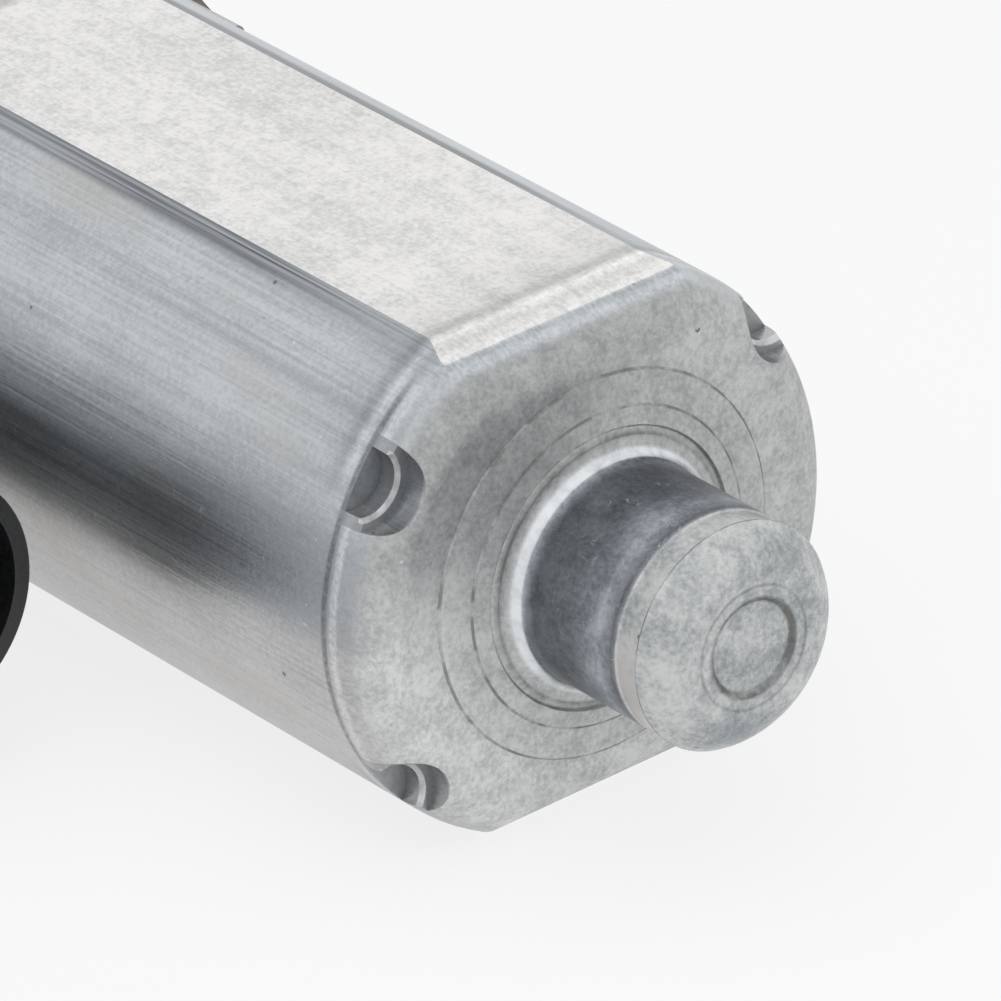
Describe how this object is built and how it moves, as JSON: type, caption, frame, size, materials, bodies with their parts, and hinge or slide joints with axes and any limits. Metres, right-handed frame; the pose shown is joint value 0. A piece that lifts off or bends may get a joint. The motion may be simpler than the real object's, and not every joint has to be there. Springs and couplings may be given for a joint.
{
  "type": "geared dc motor",
  "caption": "Worm-geared DC motor: drawn steel double-D can, right-angle gear case with round drive dogs, side connector and sleeved mounting bosses.",
  "frame": {"origin": "where the output axis crosses the plane of the motor shaft, at the centre of the three-bolt mounting circle", "axes": "+Z along the output axis, out of the cover side; +X from the gear housing to the closed end of the motor can; +Y from the output axis to the motor shaft"},
  "size_m": [0.1767, 0.0916, 0.0439],
  "materials": {
    "brass": "stamped",
    "bronze": "sintered",
    "capacitor_orange": "dipped",
    "carbon": "pressed carbon",
    "card_plastic": "moulded",
    "commutator_copper": "turned",
    "connector_black": "moulded",
    "copper": "enamelled wire",
    "core_steel": "stamped laminations",
    "cover_steel": "zinc plated sheet",
    "driver_metal": "die cast",
    "ferrite": "ground",
    "ferrite_rod": "sintered",
    "gasket_grey": "sheet",
    "housing_black": "moulded",
    "nylon": "moulded",
    "rubber_black": "moulded",
    "screw_steel": "zinc plated",
    "shaft_steel": "ground",
    "spring_steel": "drawn wire",
    "zinc_steel": "zinc plated, drawn"
  },
  "bodies": {
    "housing": {"motor_can": "zinc_steel", "magnet_far": "ferrite", "magnet_near": "ferrite", "magnet_springs": "spring_steel", "rear_bearing": "bronze", "bearing_retainer": "spring_steel", "rear_thrust_disc": "nylon", "mid_bearing": "bronze", "tail_bearing": "bronze", "thrust_ball": "shaft_steel", "thrust_screw": "screw_steel", "brush_card": "card_plastic", "brush_holder_upper": "brass", "brush_holder_lower": "brass", "brush_spring_upper": "spring_steel", "brush_spring_lower": "spring_steel", "choke_cores": "ferrite_rod", "choke_windings": "copper", "capacitor": "capacitor_orange", "thermal_breaker": "spring_steel", "gear_housing": "housing_black", "mounting_sleeves": "screw_steel", "axle_pin": "shaft_steel", "thrust_washer": "shaft_steel", "cover_gasket": "gasket_grey", "cover_plate": "cover_steel", "output_seal": "rubber_black", "cover_screws": "screw_steel", "can_screws": "screw_steel", "can_gasket": "gasket_grey", "connector_shell": "connector_black", "connector_gasket": "gasket_grey", "connector_blades": "brass", "connector_screws": "screw_steel"},
    "armature": {"armature_shaft": "shaft_steel", "lamination_stack": "core_steel", "armature_windings": "copper", "commutator": "commutator_copper", "commutator_sleeve": "card_plastic", "oil_slinger": "nylon"},
    "output": {"worm_wheel": "nylon", "damper": "rubber_black", "output_driver": "driver_metal", "retaining_ring": "spring_steel"},
    "upper_brush": {"brush_upper": "carbon"},
    "lower_brush": {"brush_lower": "carbon"}
  },
  "joints": [
    {"name": "armature_spin", "type": "hinge", "parent": "housing", "child": "armature", "pos_m": [0.04, 0.0315, 0], "axis": [1, 0, 0], "continuous": true},
    {"name": "output_spin", "type": "hinge", "parent": "housing", "child": "output", "pos_m": [0, 0, 0], "axis": [0, 0, 1], "continuous": true},
    {"name": "upper_brush_slide", "type": "slide", "parent": "housing", "child": "upper_brush", "axis": [0, 0, 1], "range_m": [0, 0.0015], "stiffness_N_per_m": 100, "deforming": ["brush_spring_upper"]},
    {"name": "lower_brush_slide", "type": "slide", "parent": "housing", "child": "lower_brush", "axis": [0, 0, -1], "range_m": [0, 0.0015], "stiffness_N_per_m": 100, "deforming": ["brush_spring_lower"]}
  ],
  "couplings": [
    {"joint": "output_spin", "follows": "armature_spin", "ratio": 0.018519}
  ]
}
